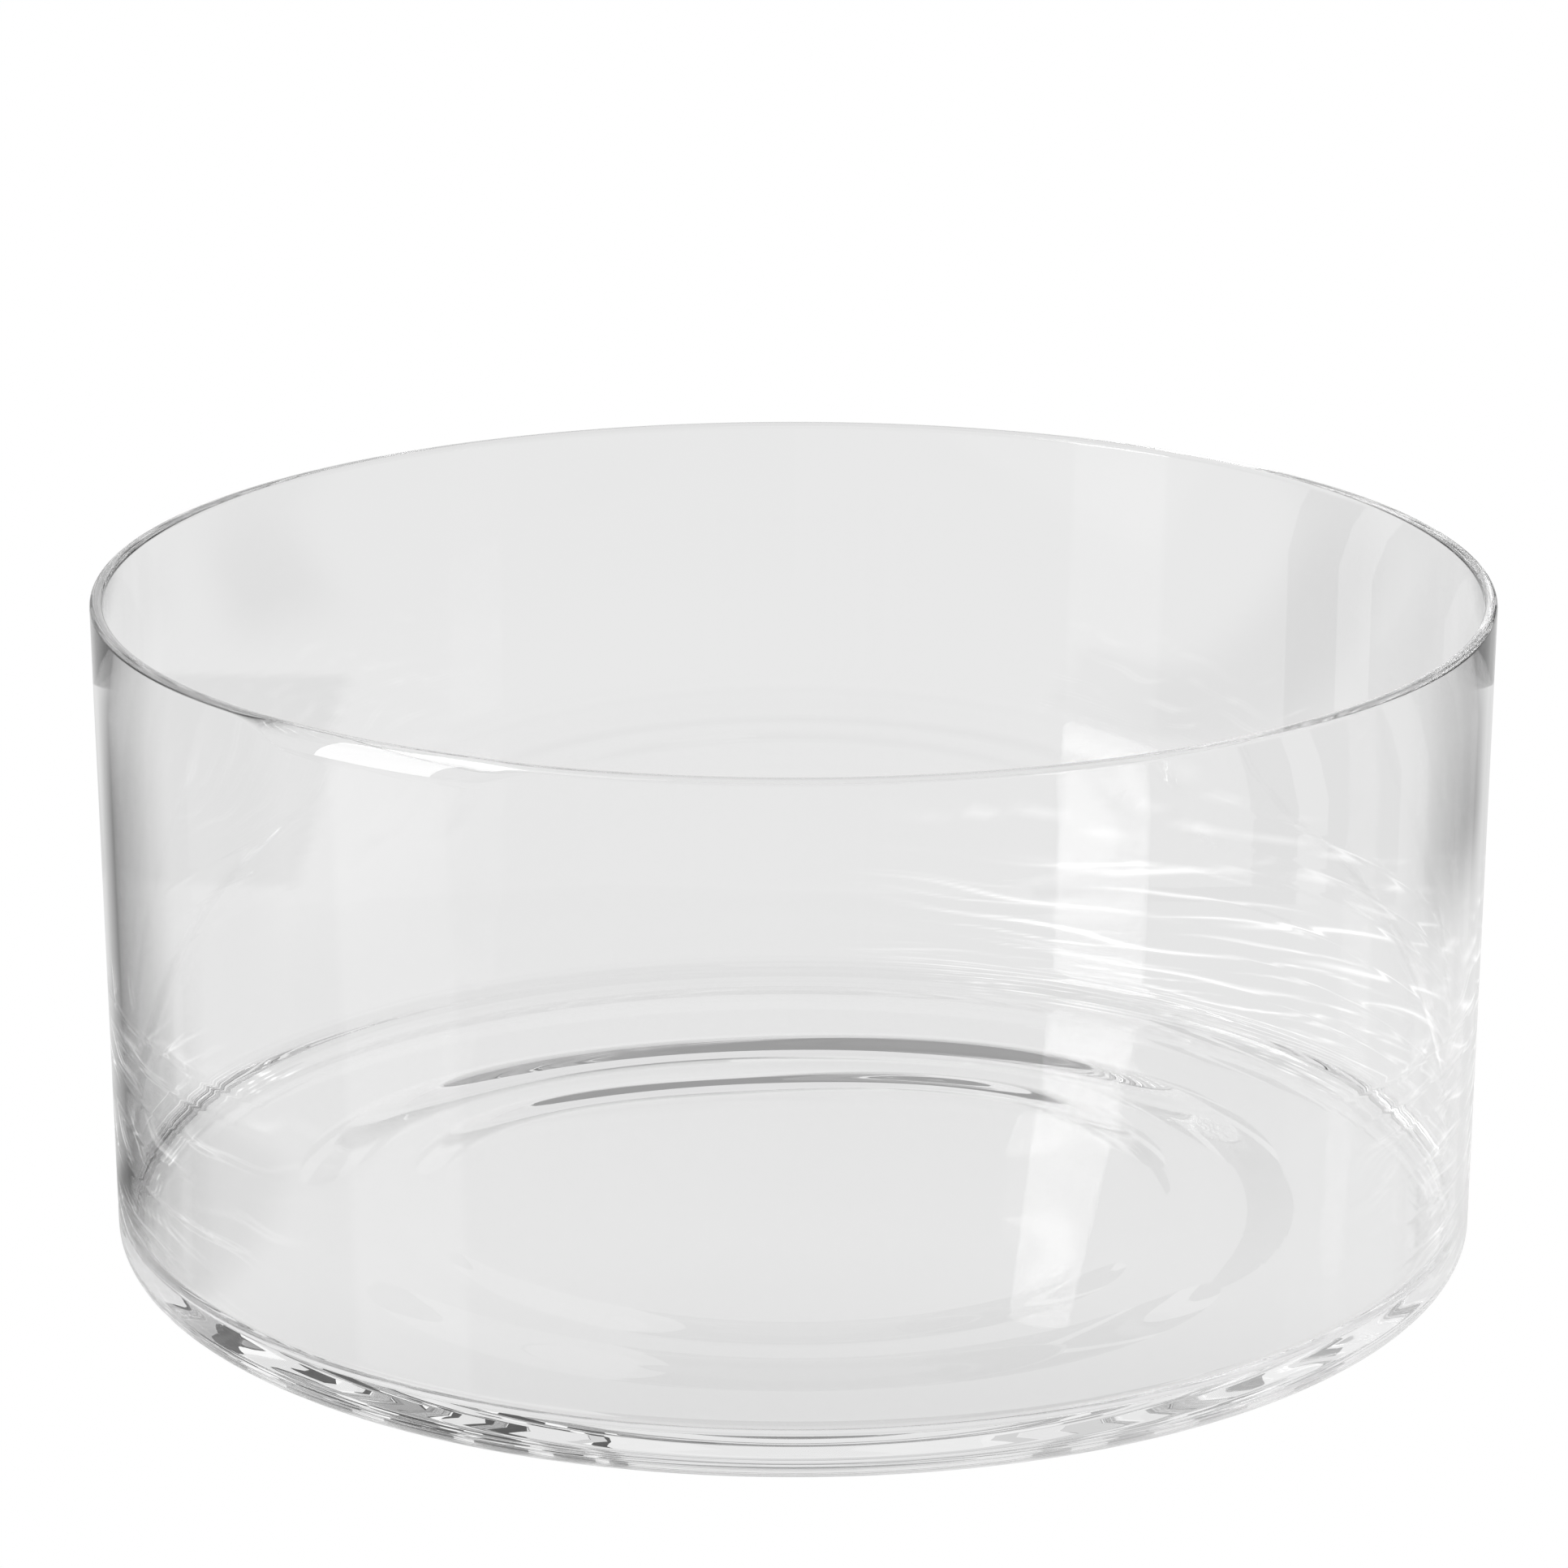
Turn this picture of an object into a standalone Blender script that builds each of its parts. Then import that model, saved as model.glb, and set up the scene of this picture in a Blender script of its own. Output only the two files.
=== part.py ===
"""A clear glass salad bowl, blown in one piece: a thin, nearly upright wall on a thick flat base.

Run it with blender --background --python part.py. Lengths are in metres and +Z is up. The origin
is the centre of the ring that the bowl stands on.
"""

import math

import bmesh
import bpy

# The wall
LIP_RADIUS = 0.115
HEIGHT = 0.112
WALL = 0.0022
FOOT_INSET = 0.0014  # how far the wall draws in from the lip to the table

# The base
BASE = 0.0069  # glass between the table and the inner floor
HEEL_RADIUS = 0.005  # outer rounding from wall to foot
FLOOR_FILLET = 0.0055  # inner rounding from floor to wall
FOOT_RING_WIDTH = 0.0284  # flat ring that touches the table
FIRST_RUN = 0.0142  # width of the soft step from the ring up to the terrace
FIRST_RISE = 0.00066
TERRACE_WIDTH = 0.0075  # level stretch between the two steps of the underside
SECOND_RUN = 0.0095  # width of the soft step from the terrace up to the raised middle
SECOND_RISE = 0.00044

# Facets
TURN_STEPS = 96
LIP_STEPS = 8
ROUND_STEPS = 6
SLOPE_STEPS = 6

# The glass
GLASS_COLOUR = (0.97, 0.98, 0.98, 1.0)
GLASS_IOR = 1.52

AXIS_MERGE = 0.00001


def clear_scene():
    for obj in list(bpy.data.objects):
        bpy.data.objects.remove(obj)


def arc(centre, radius, start, end, steps):
    """Points (radius from the axis, height) along an arc, with its angles measured up from outwards."""
    points = []
    for step in range(steps + 1):
        angle = start + (end - start) * step / steps
        points.append((centre[0] + radius * math.cos(angle), centre[1] + radius * math.sin(angle)))
    return points


def soft_step(start, run, rise):
    """Points along a step of the underside, from its foot inwards and up to its top, level at both ends."""
    points = []
    for step in range(SLOPE_STEPS + 1):
        share = step / SLOPE_STEPS
        points.append((start[0] - run * share, start[1] + rise * (1 - math.cos(math.pi * share)) / 2))
    return points


def underside(ring_outer):
    """The two soft steps from the flat ring up to the raised middle, and the middle itself."""
    first = soft_step((ring_outer - FOOT_RING_WIDTH, 0.0), FIRST_RUN, FIRST_RISE)
    terrace_end = (first[-1][0] - TERRACE_WIDTH, FIRST_RISE)
    second = soft_step(terrace_end, SECOND_RUN, SECOND_RISE)
    return [*first, *second, (0.0, second[-1][1])]


def bowl_profile():
    """Half the bowl's section, from the middle of the floor over the lip to the middle of the underside."""
    lean = math.atan2(FOOT_INSET, HEIGHT)
    lip_round = WALL / 2
    lip = (LIP_RADIUS - lip_round, HEIGHT - lip_round)

    def beside_wall(offset, height):
        """The point at this height that lies this far outside the middle of the leaning wall."""
        return (lip[0] + (offset - (lip[1] - height) * math.sin(lean)) / math.cos(lean), height)

    down, outwards = -math.pi / 2, -lean
    fillet = beside_wall(-lip_round - FLOOR_FILLET, BASE + FLOOR_FILLET)
    heel = beside_wall(lip_round - HEEL_RADIUS, HEEL_RADIUS)
    return [
        (0.0, BASE),
        *arc(fillet, FLOOR_FILLET, down, outwards, ROUND_STEPS),
        *arc(lip, lip_round, math.pi - lean, outwards, LIP_STEPS),
        *arc(heel, HEEL_RADIUS, outwards, down, ROUND_STEPS),
        *underside(heel[0]),
    ]


def glass_material():
    material = bpy.data.materials.new("clear_glass")
    material.use_nodes = True
    shader = material.node_tree.nodes["Principled BSDF"]
    shader.inputs["Base Color"].default_value = GLASS_COLOUR
    shader.inputs["Metallic"].default_value = 0.0
    shader.inputs["Roughness"].default_value = 0.0
    shader.inputs["IOR"].default_value = GLASS_IOR
    shader.inputs["Transmission Weight"].default_value = 1.0
    return material


def turned(name, profile, collection):
    """An object that turns a profile of (radius, height) points once around +Z."""
    mesh = bpy.data.meshes.new(name)
    form = bmesh.new()
    points = [form.verts.new((radius, 0.0, height)) for radius, height in profile]
    for above, below in zip(points, points[1:]):
        form.edges.new((above, below))
    form.to_mesh(mesh)
    form.free()
    obj = bpy.data.objects.new(name, mesh)
    collection.objects.link(obj)
    turn = obj.modifiers.new("turn", "SCREW")
    turn.axis = "Z"
    turn.steps = turn.render_steps = TURN_STEPS
    turn.use_smooth_shade = True
    turn.use_merge_vertices = True
    turn.merge_threshold = AXIS_MERGE
    return obj


def build():
    clear_scene()
    collection = bpy.data.collections.new("salad_bowl")
    bpy.context.scene.collection.children.link(collection)
    bowl = turned("glass_bowl", bowl_profile(), collection)
    bowl.data.materials.append(glass_material())


build()
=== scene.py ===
"""The looks of a clear glass salad bowl: a finely turned glass body on a pale table in soft studio light."""

import math

import bmesh
import bpy
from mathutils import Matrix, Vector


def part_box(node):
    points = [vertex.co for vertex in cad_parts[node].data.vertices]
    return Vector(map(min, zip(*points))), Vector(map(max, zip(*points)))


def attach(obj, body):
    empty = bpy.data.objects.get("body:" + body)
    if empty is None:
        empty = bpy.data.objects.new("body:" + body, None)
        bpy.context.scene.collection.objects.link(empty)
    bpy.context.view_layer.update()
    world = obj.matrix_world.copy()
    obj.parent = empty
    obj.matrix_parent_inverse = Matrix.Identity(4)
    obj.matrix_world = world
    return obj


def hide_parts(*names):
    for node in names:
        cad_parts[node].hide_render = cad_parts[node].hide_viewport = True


BOWL_NODE = "glass_bowl"

# The photograph's frame, in pixels
IMAGE_SIDE = 1932
FOCAL_PIXELS = 7130
BOWL_AXIS_X = 978

# The camera, in metres and degrees, from the middle of the foot ring, and its sensor in millimetres
CAMERA_BACK = 0.9205
CAMERA_HEIGHT = 0.3529
CAMERA_DOWN = 16.69
SENSOR = 36.0

# The bowl's section, in metres
WALL = 0.0022
FOOT_INSET = 0.0014
BASE = 0.0069
HEEL_RADIUS = 0.005
FLOOR_FILLET = 0.0045

# The stretch of lip whose outer edge is worn softer: the edge's angle and its radius in metres,
# then where the stretch lies, in degrees from the front to the right
SHOULDER_TURN = math.radians(26)
SHOULDER_RADIUS = 0.010
SHOULDER_START, SHOULDER_END, SHOULDER_FADE = -42, -25, 6

# The two steps of the underside, in metres, from the flat ring inwards
FOOT_RING_WIDTH = 0.027
FIRST_RISE = 0.0009
FIRST_RUN = 0.017
TERRACE_WIDTH = 0.0049
SECOND_RISE = 0.00064
SECOND_RUN = 0.012

# How the steps leave the round: they lie further out, by the drift, away from a point near the back,
# and lose a share of their rise towards the front
STEP_TURN = math.radians(9)
DRIFT_TURN = math.radians(60)
FIRST_DRIFT = 0.007
SECOND_DRIFT = 0.0095
FRONT_LOSS = 0.45
LOSS_START, LOSS_END = math.radians(30), math.radians(120)

# Fine rings low on the outer wall, in metres. RING_UNEVEN is a share of their spacing, and RING_SIDES
# is where they set in, as the cosine of the turn from the nearer side.
RING_DEPTH = 0.000012
RING_WIDTH = 0.0005
RING_SPACING = 0.0068
RING_FIRST = 0.009
RING_COUNT = 7
RING_UNEVEN = 0.2
RING_UNEVEN_PHASE = 5.0
RING_TILT = 0.0006
RING_TILT_PHASE = 2.0
RING_SIDES = (0.6, 0.95)

# Facets of the visible glass
TURN_STEPS = 256
SHOULDER_STEPS = 16
LIP_STEPS = 24
ROUND_STEPS = 24
SLOPE_STEPS = 16
WALL_STEPS = 8
OUTER_STEPS = 12
RING_STEPS = 180

GLASS_IOR = 1.52
BOUNCES = 80

# The stage's places, in metres
FLOOR_LEVEL = -0.0004
FLOOR_REACH = 3.0
TABLE_TOP = -0.0002
TABLE_RADIUS = 0.9
GROUND_RADIUS = 2.2
UNDER_BOWL_RADIUS = 0.108
ROOM_RADIUS = 2.0
CEILING_HEIGHT = 2.8
CEILING_REACH = 2.2
SOFTBOX_X = -0.68

# The table's points: radii under the bowl, then groups of rings as first radius, stride and count,
# and the width over which the table's brightness changes to that of the ground beyond
TABLE_SIDES = 480
TABLE_MIDDLE_RADII = (0.02, 0.06, 0.09, 0.1)
TABLE_RINGS = ((0.104, 0.0005, 60), (0.134, 0.001, 80), (0.214, 0.004, 60), (0.46, 0.02, 22))
TABLE_EDGE = 0.001

# Brightness, where 1 is white: of the room, and of the table as the glass shows it, with the light and shade
# painted on the table
WHITE = 1.0
ROOM_LIGHT = 0.3
CEILING = 0.22
TABLE_GLOSS = 0.06
TABLE_LIGHT = 0.765
TABLE_BEYOND = 0.47
FOOT_LIGHT = 0.81
FOOT_DIM = 0.1
OPEN_LIGHT = 0.25
RIGHT_FRINGES = 0.5
LEFT_FRINGES = 0.9
FINE_FRINGES = 0.35

# Shares of the table's brightness that painted shadows take away
LEFT_SHADOW = 0.6
RIGHT_DIM = 0.06
BACK_SHADOW = 0.1
LEFT_EDGE_SHADOW = 0.9
RIGHT_EDGE_SHADOW = 0.85

# Where these lie on the table, as the two ends of a range and, third, how far it fades beyond them:
# turns in degrees from straight behind to the right, radii and other places in metres
FOOT_DIM_PLACE = (0.03, 0.1)
OPEN_FORWARDS = (0.03, 0.09)
OPEN_LEFTWARDS = (0.26, 0.34)
RIGHT_FRINGE_TURNS = (22, 95, 20)
LEFT_FRINGE_TURNS = (-112, -60, 12)
FRINGE_RADII = (0.116, 0.2, 0.03)
FINE_FRINGE_RADII = (0.13, 0.24, 0.03)
LEFT_SHADOW_TURNS = (-110, -84, 8)
LEFT_SHADOW_RADII = (0.13, 0.19, 0.02)
RIGHT_DIM_TURNS = (15, 40)
RIGHT_DIM_RADII = (0.2, 0.27)
BACK_SHADOW_ACROSS = (-0.18, -0.105, 0.003)
BACK_SHADOW_ALONG = (0.19, 0.34, 0.006)
RIGHT_EDGE_RADII = (0.24, 0.32)

# The painted long shadows of the two sides: their slant from straight back, how far their line passes from
# the axis, their width and how it grows, and where along them they set in and lose a share of their strength
LEFT_EDGE_SLANT = math.radians(34)
RIGHT_EDGE_SLANT = math.radians(38)
EDGE_FROM_AXIS = 0.125
EDGE_WIDTH = 0.02
EDGE_SPREAD = 0.2
EDGE_RISE = (0.03, 0.1)
EDGE_FALL = (0.28, 0.48)
EDGE_LOSS = 0.7
EDGE_SOFTNESS = 3

# The painted rings of gathered light: where they start in metres, how dense they are,
# and their waves, each as its height, its pace round the bowl and its pace outwards
FRINGE_START = 0.105
FRINGE_LEAST = 0.001
FRINGE_UNIT = 0.01
FRINGE_DENSITY = 4.0
FINE_FRINGE_DENSITY = 7.0
FINE_FRINGE_TURN = 1.3
FRINGE_WAVES = ((0.6, 3.1, 0), (0.3, 9, 60), (0.1, 23, -90))
FRINGE_PATCHES = (13, 130)
FRINGE_SHARPNESS = 16

# The room's cards, in degrees: slants up from the table, and turns from straight behind to the right.
# Windows and panes have the turn of their middle and their width, and front cards a turn and a brightness.
LOW = (0, 16)
OVER_LOW = (16, 28)
BEHIND_GAP = (26, 38)
STANDING = (0, 36)
HIGH = (36, 55)
CARD_TURN = 15
FRONT_TURN = 20
BACK_WINDOWS = ((34.1, 4.7), (24.1, 2.6), (17.2, 1.3), (12.6, 1.4), (9.3, 0.7))
BACK_LEFT_PANES = ((33.5, 5), (24.4, 4), (17.6, 3), (12.8, 2.2))
FRONT_CARDS = ((120, 0.36), (140, 0.4), (160, 0.45), (180, 0.5), (200, 0.55))


def smooth(low, high, value):
    """0 below low, 1 above high and a soft rise between them."""
    share = min(max((value - low) / (high - low), 0.0), 1.0)
    return share * share * (3 - 2 * share)


def bump(low, high, soft, value):
    """1 between two values, with a soft fall to 0 outside them."""
    return smooth(low - soft, low, value) * (1 - smooth(high, high + soft, value))


def arc(centre, radius, start, end, steps):
    """Points (radius from the axis, height) along an arc, with its angles measured up from outwards."""
    points = []
    for step in range(steps + 1):
        angle = start + (end - start) * step / steps
        points.append((centre[0] + radius * math.cos(angle), centre[1] + radius * math.sin(angle)))
    return points


def between(start, end, steps):
    """The points that cut a straight stretch into steps, without its two ends."""
    shares = [step / steps for step in range(1, steps)]
    return [tuple(a + (b - a) * share for a, b in zip(start, end)) for share in shares]


def soft_bend(end, rise, angle, steps):
    """Points along a bend that starts level and turns up by an angle, gently at both ends, to its end."""
    course = [angle * smooth(0.0, 1.0, (step + 0.5) / steps) for step in range(steps)]
    stride = rise / sum(math.sin(slope) for slope in course)
    points = [end]
    for slope in reversed(course):
        points.append((points[-1][0] - stride * math.cos(slope), points[-1][1] - stride * math.sin(slope)))
    return points[::-1]


def soft_step(start, run, rise):
    """A soft step inwards and up from a point of the underside."""
    points = []
    for step in range(SLOPE_STEPS + 1):
        share = step / SLOPE_STEPS
        points.append((start[0] - run * share, start[1] + rise * (1 - math.cos(math.pi * share)) / 2))
    return points


def underside(ring_outer, turn):
    """The two soft steps from the flat ring up towards the raised middle, which aren't quite round."""
    from_back = abs(math.remainder(math.pi / 2 - turn + STEP_TURN, 2 * math.pi))
    drift = smooth(0.0, DRIFT_TURN, from_back)
    steep = 1 - FRONT_LOSS * smooth(LOSS_START, LOSS_END, from_back)
    first_start = ring_outer - FOOT_RING_WIDTH + FIRST_DRIFT * drift
    first = soft_step((first_start, 0.0), FIRST_RUN, FIRST_RISE * steep)
    terrace_end = first[-1][0] - TERRACE_WIDTH + (SECOND_DRIFT - FIRST_DRIFT) * drift
    return [*first, *soft_step((terrace_end, FIRST_RISE * steep), SECOND_RUN, SECOND_RISE * steep)]


def last_rise(start):
    """The gentle rise from the inner step to the middle of the underside, without its two ends."""
    top = FIRST_RISE + SECOND_RISE
    points = []
    for step in range(1, SLOPE_STEPS):
        radius = start[0] * (1 - step / SLOPE_STEPS)
        points.append((radius, top - (top - start[1]) * smooth(0.0, start[0], radius)))
    return points


def lip_softness(turn):
    """How round the lip's outer edge is: a plain half round, worn softer over a stretch of the left front."""
    from_front = math.degrees(math.atan2(math.cos(turn), -math.sin(turn)))
    plain = WALL / 2
    return plain + (SHOULDER_RADIUS - plain) * bump(SHOULDER_START, SHOULDER_END, SHOULDER_FADE, from_front)


def rings(height, turn):
    """How far the outer wall lies inside its plain turned form."""
    depth = 0.0
    for ring in range(RING_COUNT):
        middle = RING_FIRST + RING_SPACING * (ring + RING_UNEVEN * math.sin(RING_UNEVEN_PHASE * ring))
        middle += RING_TILT * math.sin(turn + RING_TILT_PHASE * ring)
        depth += RING_DEPTH * math.exp(-(((height - middle) / RING_WIDTH) ** 2))
    return depth * smooth(*RING_SIDES, abs(math.cos(turn)))


def bowl_profile(lip_radius, height, turn):
    """Half the bowl's section, from the middle of the floor over the lip to the middle of the underside."""
    lean = math.atan2(FOOT_INSET, height)
    down, outwards, inwards = -math.pi / 2, -lean, math.pi - lean
    shoulder_radius = lip_softness(turn)
    shoulder_end = outwards + SHOULDER_TURN
    tip_radius = (WALL - shoulder_radius * (1 - math.cos(SHOULDER_TURN))) / (1 + math.cos(SHOULDER_TURN))
    tip_height = height - tip_radius
    shoulder_height = tip_height - (shoulder_radius - tip_radius) * math.sin(shoulder_end)

    def beside_wall(depth, at_height):
        """The point at a depth into the glass, measured square to the wall, from the wall's outer face."""
        outer = lip_radius - (height - WALL / 2 - at_height) * math.tan(lean)
        return (outer - depth / math.cos(lean), at_height)

    shoulder_centre = beside_wall(shoulder_radius, shoulder_height)
    tip_centre = (
        shoulder_centre[0] + (shoulder_radius - tip_radius) * math.cos(shoulder_end),
        shoulder_centre[1] + (shoulder_radius - tip_radius) * math.sin(shoulder_end),
    )
    heel_centre = beside_wall(HEEL_RADIUS, HEEL_RADIUS)
    fillet = soft_bend(beside_wall(WALL, BASE + FLOOR_FILLET), FLOOR_FILLET, math.pi / 2 - lean, ROUND_STEPS)
    tip = arc(tip_centre, tip_radius, inwards, shoulder_end, LIP_STEPS)
    shoulder = arc(shoulder_centre, shoulder_radius, shoulder_end, outwards, SHOULDER_STEPS)
    heel = arc(heel_centre, HEEL_RADIUS, outwards, down, ROUND_STEPS)
    slope = underside(heel[-1][0], turn)
    ring_top = beside_wall(0.0, RING_FIRST + RING_SPACING * RING_COUNT)
    ringed = [ring_top, *between(ring_top, heel[0], RING_STEPS)]
    floor_middle, foot_middle = (0.0, BASE), (0.0, FIRST_RISE + SECOND_RISE)
    return [
        floor_middle,
        *between(floor_middle, fillet[0], WALL_STEPS),
        *fillet,
        *between(fillet[-1], tip[0], WALL_STEPS),
        *tip,
        *shoulder[1:],
        *between(shoulder[-1], ring_top, OUTER_STEPS),
        *[(radius - rings(at_height, turn), at_height) for radius, at_height in ringed],
        *heel,
        *between(heel[-1], slope[0], WALL_STEPS),
        *slope,
        *last_rise(slope[-1]),
        foot_middle,
    ]


def turned_mesh(name, profile_at, steps):
    """A closed mesh that turns a profile, which starts and ends on the axis, once around +Z."""
    form = bmesh.new()
    lines = []
    for step in range(steps):
        turn = 2 * math.pi * step / steps
        profile = profile_at(turn)
        lines.append([form.verts.new((r * math.cos(turn), r * math.sin(turn), z)) for r, z in profile[1:-1]])
    first, last = (form.verts.new((0.0, 0.0, profile[end][1])) for end in (0, -1))
    for here, beside in zip(lines, lines[1:] + lines[:1]):
        form.faces.new((first, here[0], beside[0]))
        for low in range(len(here) - 1):
            form.faces.new((here[low], here[low + 1], beside[low + 1], beside[low]))
        form.faces.new((last, beside[-1], here[-1]))
    bmesh.ops.recalc_face_normals(form, faces=form.faces)
    mesh = bpy.data.meshes.new(name)
    form.to_mesh(mesh)
    form.free()
    mesh.shade_smooth()
    return mesh


def glass_material():
    """Clear, colourless, polished glass."""
    material = bpy.data.materials.new("clear_glass")
    material.use_nodes = True
    shader = material.node_tree.nodes["Principled BSDF"]
    shader.inputs["Base Color"].default_value = (1.0, 1.0, 1.0, 1.0)
    shader.inputs["Roughness"].default_value = 0.0
    shader.inputs["IOR"].default_value = GLASS_IOR
    shader.inputs["Transmission Weight"].default_value = 1.0
    return material


def make_bowl():
    """The visible bowl, as wide and as high as the solid that it stands for."""
    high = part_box(BOWL_NODE)[1]
    mesh = turned_mesh("clear_bowl", lambda turn: bowl_profile(high.x, high.z, turn), TURN_STEPS)
    bowl = bpy.data.objects.new("clear_bowl", mesh)
    bpy.context.scene.collection.objects.link(bowl)
    mesh.materials.append(glass_material())
    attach(bowl, "root")
    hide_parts(BOWL_NODE)


def is_seen(nodes, links):
    """A value that is 1 for rays from the camera and for those that glass mirrors or lets through, else 0."""
    path = nodes.new("ShaderNodeLightPath")
    seen = path.outputs["Is Camera Ray"]
    for ray in ("Is Glossy Ray", "Is Transmission Ray"):
        either = nodes.new("ShaderNodeMath")
        either.operation = "MAXIMUM"
        links.new(seen, either.inputs[0])
        links.new(path.outputs[ray], either.inputs[1])
        seen = either.outputs[0]
    return seen


def white_where_seen(tree, output_kind, light_kind):
    """Fills a node tree with white for rays that are seen, and the room's plain light for the others."""
    nodes, links = tree.nodes, tree.links
    nodes.clear()
    output, mix = nodes.new(output_kind), nodes.new("ShaderNodeMixShader")
    links.new(is_seen(nodes, links), mix.inputs["Fac"])
    for slot, strength in enumerate((ROOM_LIGHT, WHITE), start=1):
        light = nodes.new(light_kind)
        light.inputs["Color"].default_value = (1.0, 1.0, 1.0, 1.0)
        light.inputs["Strength"].default_value = strength
        links.new(light.outputs[0], mix.inputs[slot])
    links.new(mix.outputs[0], output.inputs["Surface"])


def floor_material():
    """The plain white floor around the bowl."""
    material = bpy.data.materials.new("pale_floor")
    material.use_nodes = True
    white_where_seen(material.node_tree, "ShaderNodeOutputMaterial", "ShaderNodeEmission")
    return material


def lit_material(name, strength):
    """A surface that glows evenly, as a lit sheet does."""
    material = bpy.data.materials.new(name)
    material.use_nodes = True
    nodes, links = material.node_tree.nodes, material.node_tree.links
    nodes.clear()
    output, glow = nodes.new("ShaderNodeOutputMaterial"), nodes.new("ShaderNodeEmission")
    glow.inputs["Strength"].default_value = strength
    links.new(glow.outputs[0], output.inputs["Surface"])
    return material


def table_material():
    """A table top that glows as bright at each point as its mesh says, where its painted shadows and gathered
    light lie, and also mirrors a little of the room.
    """
    material = lit_material("table_top", WHITE)
    nodes, links = material.node_tree.nodes, material.node_tree.links
    light = nodes.new("ShaderNodeAttribute")
    light.attribute_name = "light"
    links.new(light.outputs["Fac"], nodes["Emission"].inputs["Strength"])
    gloss = nodes.new("ShaderNodeBsdfGlossy")
    gloss.inputs["Roughness"].default_value = 0.0
    gloss.inputs["Color"].default_value = (TABLE_GLOSS, TABLE_GLOSS, TABLE_GLOSS, 1.0)
    both = nodes.new("ShaderNodeAddShader")
    links.new(nodes["Emission"].outputs[0], both.inputs[0])
    links.new(gloss.outputs[0], both.inputs[1])
    links.new(both.outputs[0], nodes["Material Output"].inputs["Surface"])
    return material


def edge_shadow(x, y, side, slant):
    """How far a point lies in the painted long shadow that the wall at one side throws back on the table."""
    aside, back = math.sin(slant), math.cos(slant)
    start = (side * back * EDGE_FROM_AXIS, -aside * EDGE_FROM_AXIS)
    along = (x - start[0]) * side * aside + (y - start[1]) * back
    across = (x - start[0]) * side * back - (y - start[1]) * aside
    width = EDGE_WIDTH + EDGE_SPREAD * max(along, 0.0)
    reach = smooth(*EDGE_RISE, along) * (1 - EDGE_LOSS * smooth(*EDGE_FALL, along))
    return reach * math.exp(-(abs(across / width) ** EDGE_SOFTNESS))


def light_fringes(r, turn, density):
    """Painted thin bright rings of light that the wall gathers on the table, ever wider apart away from it.
    """
    phase = density * math.log(max(r - FRINGE_START, FRINGE_LEAST) / FRINGE_UNIT)
    wobble = 0.0
    for height, round_pace, out_pace in FRINGE_WAVES:
        wobble += height * math.sin(round_pace * turn + out_pace * r)
    phase += wobble
    round_pace, out_pace = FRINGE_PATCHES
    patchy = 0.5 + 0.5 * math.sin(round_pace * turn + out_pace * r)
    return patchy * max(0.0, math.cos(2 * math.pi * phase)) ** FRINGE_SHARPNESS


def table_light(x, y):
    """How bright the table is at a point: the bowl's own shadows and gathered light, painted onto an even
    top.
    """
    r, turn = math.hypot(x, y), math.atan2(x, y)
    degrees = math.degrees(turn)
    if r > TABLE_RADIUS:
        return TABLE_BEYOND
    # Under the bowl, painted light that comes through the glass, a little dimmer towards the front; around
    # it, a painted pool of light at the left front.
    if r < UNDER_BOWL_RADIUS:
        return FOOT_LIGHT - FOOT_DIM * smooth(*FOOT_DIM_PLACE, -y)
    light = TABLE_LIGHT + OPEN_LIGHT * smooth(*OPEN_FORWARDS, -y) * smooth(*OPEN_LEFTWARDS, -x)
    # Painted shadows on the table: a patch beside the bowl at the left, a faint dimming behind at the right
    # and a faint patch behind at the left.
    light *= 1 - LEFT_SHADOW * bump(*LEFT_SHADOW_TURNS, degrees) * bump(*LEFT_SHADOW_RADII, r)
    light *= 1 - RIGHT_DIM * smooth(*RIGHT_DIM_TURNS, degrees) * smooth(*RIGHT_DIM_RADII, r)
    light *= 1 - BACK_SHADOW * bump(*BACK_SHADOW_ACROSS, x) * bump(*BACK_SHADOW_ALONG, y)
    # The painted long shadows that the two sides of the wall throw back on the table.
    light *= 1 - LEFT_EDGE_SHADOW * edge_shadow(x, y, -1, LEFT_EDGE_SLANT)
    light *= 1 - RIGHT_EDGE_SHADOW * edge_shadow(x, y, 1, RIGHT_EDGE_SLANT) * smooth(*RIGHT_EDGE_RADII, r)
    # Painted rings of gathered light on the table, at the right and at the left of the bowl.
    right = bump(*RIGHT_FRINGE_TURNS, degrees)
    left = bump(*LEFT_FRINGE_TURNS, degrees)
    fringes = light_fringes(r, turn, FRINGE_DENSITY) * bump(*FRINGE_RADII, r)
    light += RIGHT_FRINGES * fringes * right + LEFT_FRINGES * fringes * left
    fine_fringes = light_fringes(r, FINE_FRINGE_TURN * turn, FINE_FRINGE_DENSITY)
    light += FINE_FRINGES * fine_fringes * bump(*FINE_FRINGE_RADII, r) * right
    return light


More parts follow.
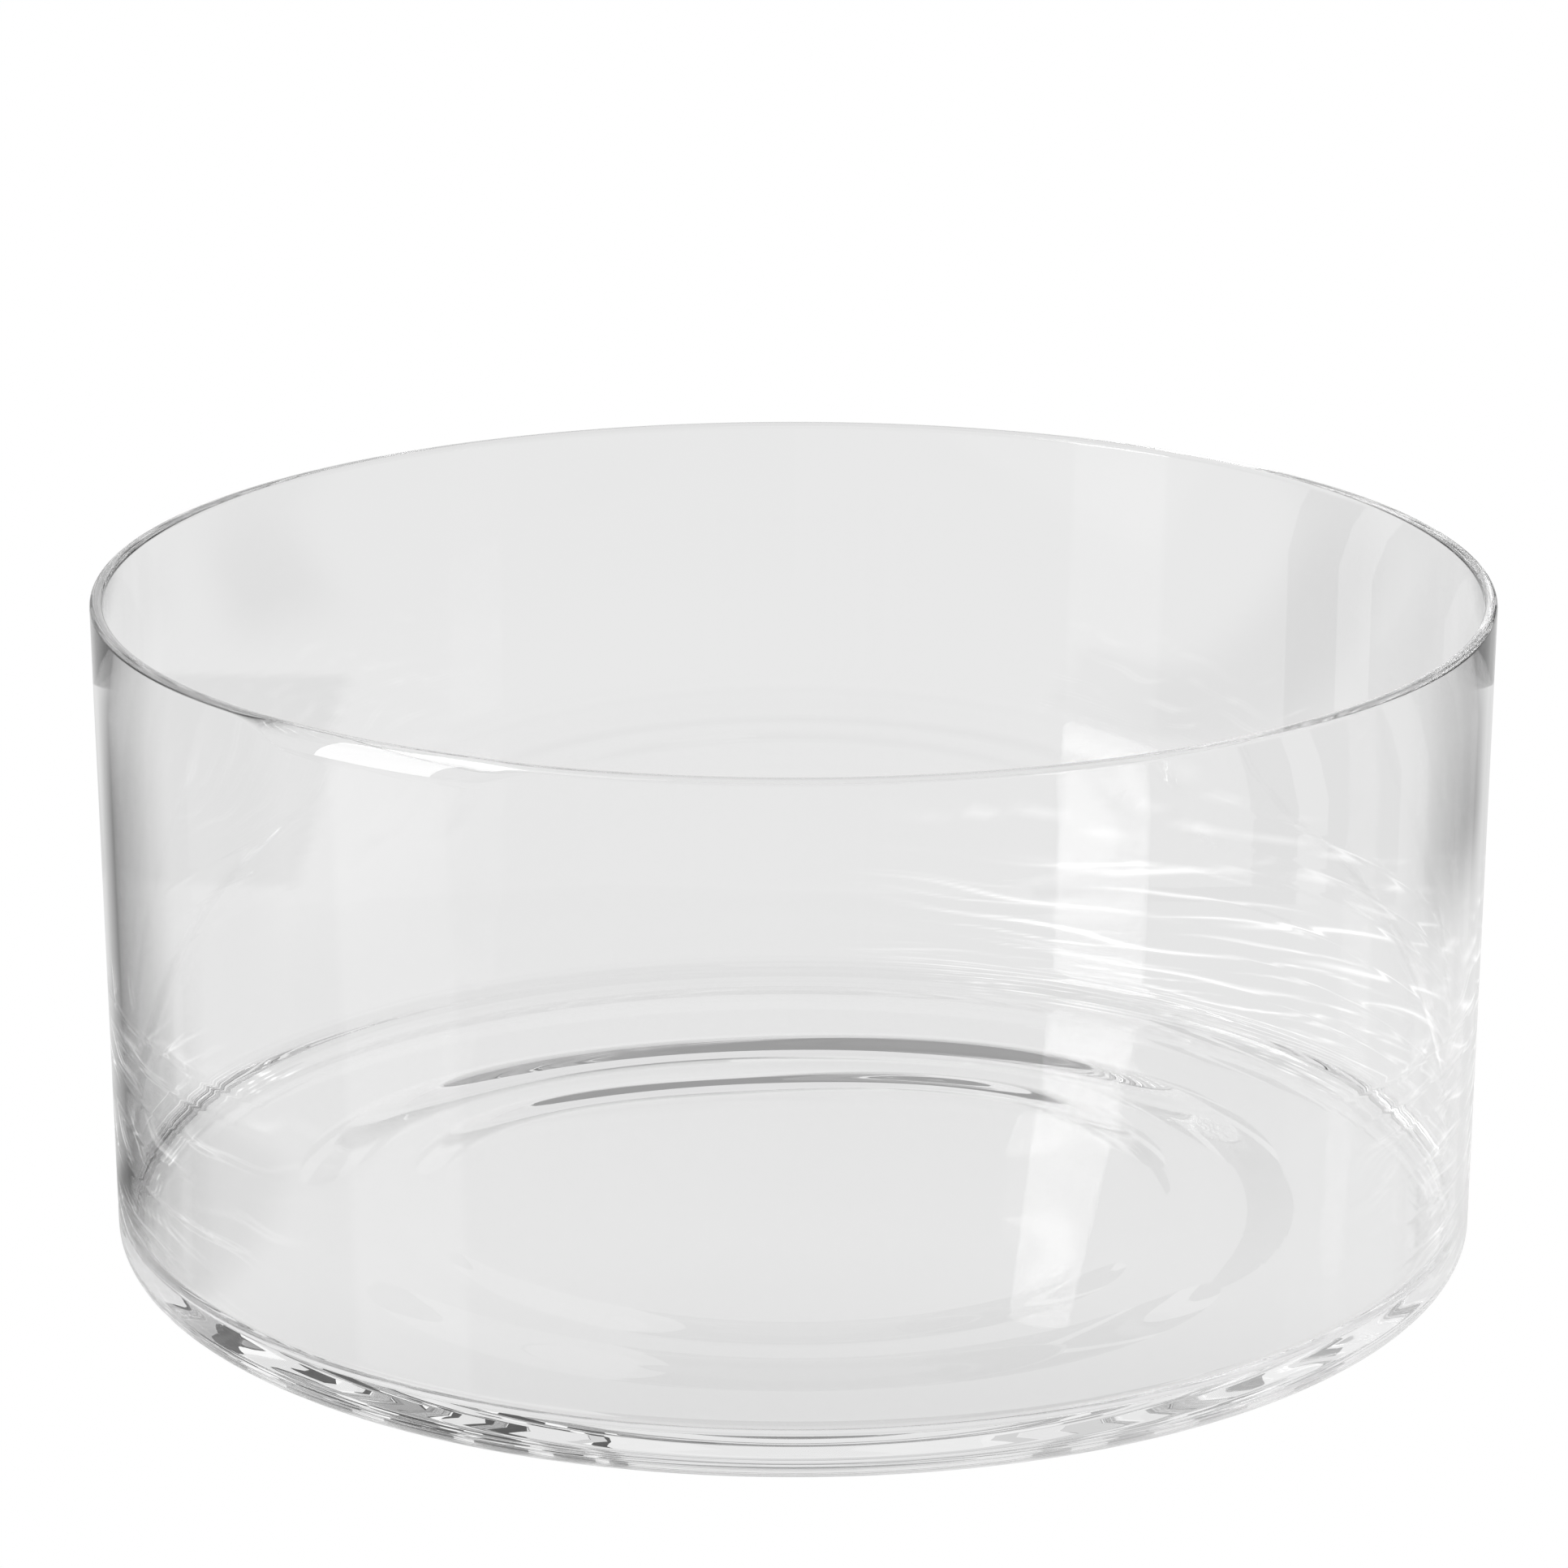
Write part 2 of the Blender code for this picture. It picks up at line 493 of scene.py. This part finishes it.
def make_table():
    """The table, as rings of points that each carry their own brightness, with the painted shadows and
    gathered light in it.
    """
    radii = list(TABLE_MIDDLE_RADII)
    for first, stride, count in TABLE_RINGS:
        radii += [first + stride * step for step in range(count)]
    radii += [TABLE_RADIUS, TABLE_RADIUS + TABLE_EDGE, GROUND_RADIUS]
    turns = [2 * math.pi * step / TABLE_SIDES for step in range(TABLE_SIDES)]
    points = [(r * math.sin(t), r * math.cos(t), TABLE_TOP) for r in radii for t in turns]
    faces = [tuple(range(TABLE_SIDES))]
    for ring in range(len(radii) - 1):
        here, beyond = ring * TABLE_SIDES, (ring + 1) * TABLE_SIDES
        for step in range(TABLE_SIDES):
            beside = (step + 1) % TABLE_SIDES
            faces.append((here + step, here + beside, beyond + beside, beyond + step))
    mesh = bpy.data.meshes.new("table")
    mesh.from_pydata(points, [], faces)
    lights = mesh.attributes.new("light", "FLOAT", "POINT")
    lights.data.foreach_set("value", [table_light(x, y) for x, y, z in points])
    mesh.materials.append(table_material())
    table = bpy.data.objects.new("table", mesh)
    bpy.context.scene.collection.objects.link(table)
    table.visible_camera = False


def make_sheet(name, corners, material):
    """A flat sheet of the stage from its corners in order round it."""
    mesh = bpy.data.meshes.new(name)
    mesh.from_pydata(corners, [], [range(len(corners))])
    mesh.materials.append(material)
    sheet = bpy.data.objects.new(name, mesh)
    bpy.context.scene.collection.objects.link(sheet)
    return sheet


def make_card(name, corners, light):
    """A glowing or dark card around the bowl, which the glass shows and the camera doesn't."""
    card = make_sheet(name, corners, lit_material(name, light))
    card.visible_camera = False
    card.visible_shadow = False


def level_square(reach, height):
    """The corners of a level square around the bowl's axis."""
    return [(x * reach, y * reach, height) for x, y in ((-1, -1), (1, -1), (1, 1), (-1, 1))]


def upright(start, end, bottom, top):
    """The corners of an upright card above the line between two points of the table."""
    return [(*start, bottom), (*end, bottom), (*end, top), (*start, top)]


def wall(name, turns, slants, light, set_back=0.0):
    """A bent card between two turns and two slants, in degrees, at the room's radius or set back from it."""
    radius = ROOM_RADIUS + set_back
    first, last = turns
    steps = max(1, round((last - first) / CARD_TURN))
    heights = [radius * math.tan(math.radians(slant)) for slant in slants]
    for step in range(steps):
        ends = [math.radians(first + (last - first) * (step + k) / steps) for k in (0, 1)]
        feet = [(radius * math.sin(t), radius * math.cos(t)) for t in ends]
        make_card(f"{name}_{step}", upright(*feet, *heights), light)


def make_softbox():
    """The bright softbox at the left, in two panels, of which the upper one slants forwards."""
    low_front, low_back = (SOFTBOX_X, -0.485, 0.02), (SOFTBOX_X, -0.19, 0.02)
    middle_front, middle_back = (SOFTBOX_X, -0.55, 0.375), (SOFTBOX_X, -0.235, 0.31)
    top_front, top_back = (SOFTBOX_X, -0.731, 0.549), (SOFTBOX_X, -0.463, 0.472)
    make_card("left_softbox", [low_front, low_back, middle_back, middle_front], light=5.0)
    make_card("left_top_panel", [middle_front, middle_back, top_back, top_front], light=6.5)


def make_room():
    """The bright and dark cards around the bowl, which draw the bands and edges that the glass shows."""
    wall("back", (-8, 8), LOW, light=0.85)
    wall("upper_back", (-20, 14), OVER_LOW, light=0.65, set_back=-0.1)
    wall("high_back", (-6, 6), BEHIND_GAP, light=CEILING, set_back=0.2)
    for turn, width in BACK_WINDOWS:
        wall(f"back_window_{turn}", (turn - width / 2, turn + width / 2), STANDING, light=WHITE)
    for turn, width in BACK_LEFT_PANES:
        wall(f"back_left_pane_{turn}", (-turn - width / 2, -turn + width / 2), STANDING, light=0.4)
    wall("back_right", (4, 52), STANDING, light=0.06, set_back=0.1)
    wall("back_left", (-84, -4), STANDING, light=0.88, set_back=0.1)
    wall("far_right", (45, 75), STANDING, light=0.42)
    wall("right", (75, 120), STANDING, light=0.3)
    for turn, light in FRONT_CARDS:
        wall(f"front_{turn}", (turn, turn + FRONT_TURN), STANDING, light)
    wall("left", (-140, -75), STANDING, light=0.6)
    wall("upper_right", (-15, 165), HIGH, light=0.35)
    wall("upper_left", (-195, -15), HIGH, light=0.85)
    make_card("ceiling", level_square(CEILING_REACH, CEILING_HEIGHT), CEILING)


def make_stage():
    """The floor that the camera sees, and the table, softbox and room that only the glass shows."""
    make_sheet("floor", level_square(FLOOR_REACH, FLOOR_LEVEL), floor_material())
    make_table()
    make_softbox()
    make_room()


def make_world():
    """The white background."""
    world = bpy.data.worlds.new("studio")
    bpy.context.scene.world = world
    world.use_nodes = True
    white_where_seen(world.node_tree, "ShaderNodeOutputWorld", "ShaderNodeBackground")


def make_camera():
    """The camera, at the photograph's viewing angle."""
    data = bpy.data.cameras.new("camera")
    camera = bpy.data.objects.new("camera", data)
    bpy.context.scene.collection.objects.link(camera)
    data.sensor_width = SENSOR
    data.lens = SENSOR * FOCAL_PIXELS / IMAGE_SIDE
    aside = (BOWL_AXIS_X - IMAGE_SIDE / 2) * CAMERA_BACK / FOCAL_PIXELS
    camera.location = (-aside, -CAMERA_BACK, CAMERA_HEIGHT)
    camera.rotation_euler = (math.radians(90 - CAMERA_DOWN), 0, 0)
    bpy.context.scene.camera = camera


def set_render():
    """Plain colours, and many bounces, since light goes a long way inside glass."""
    scene = bpy.context.scene
    scene.view_settings.view_transform = "Standard"
    scene.cycles.max_bounces = BOUNCES
    scene.cycles.transmission_bounces = BOUNCES
    scene.cycles.glossy_bounces = BOUNCES
    scene.cycles.use_denoising = True


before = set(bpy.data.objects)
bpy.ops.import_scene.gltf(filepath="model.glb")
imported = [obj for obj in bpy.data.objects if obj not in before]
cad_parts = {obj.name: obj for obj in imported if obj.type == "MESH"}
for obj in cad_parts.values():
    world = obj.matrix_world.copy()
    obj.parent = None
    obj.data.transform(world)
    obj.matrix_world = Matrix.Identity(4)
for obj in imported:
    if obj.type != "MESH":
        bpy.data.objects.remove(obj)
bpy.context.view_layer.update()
make_bowl()
make_stage()
make_world()
make_camera()
set_render()
